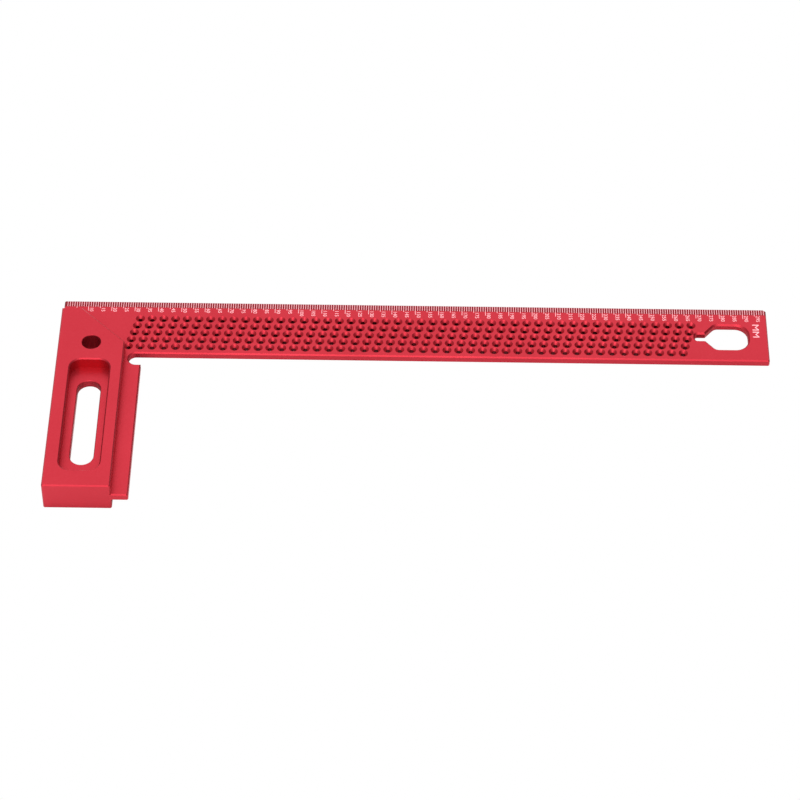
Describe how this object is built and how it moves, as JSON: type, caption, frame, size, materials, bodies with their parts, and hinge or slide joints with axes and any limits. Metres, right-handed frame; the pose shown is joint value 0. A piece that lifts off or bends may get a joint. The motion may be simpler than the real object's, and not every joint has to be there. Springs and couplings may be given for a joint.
{
  "type": "combination square",
  "caption": "L-shaped layout square: thin graduated blade with rows of countersunk scribing holes and a hanging keyhole, clamped between thick handle cheeks.",
  "frame": {"origin": "outer corner of the square, where the scale edge meets the outer edge of the handle: the zero of the scale, midway through the core plate", "axes": "+X along the blade towards its free end, -Y along the handle, +Z out of the marked face"},
  "size_m": [0.3005, 0.11, 0.014],
  "materials": {
    "anodised_aluminium": "fine bead-blasted, red anodised, satin",
    "screw_steel": "bright zinc-plated",
    "dowel_steel": "ground, hardened"
  },
  "bodies": {
    "root": {"core_plate": "anodised_aluminium", "upper_cheek": "anodised_aluminium", "lower_cheek": "anodised_aluminium", "screw_head_outer": "screw_steel", "screw_head_inner": "screw_steel", "screw_tail_outer": "screw_steel", "screw_tail_inner": "screw_steel", "dowel_head": "dowel_steel", "dowel_tail": "dowel_steel"}
  },
  "joints": []
}
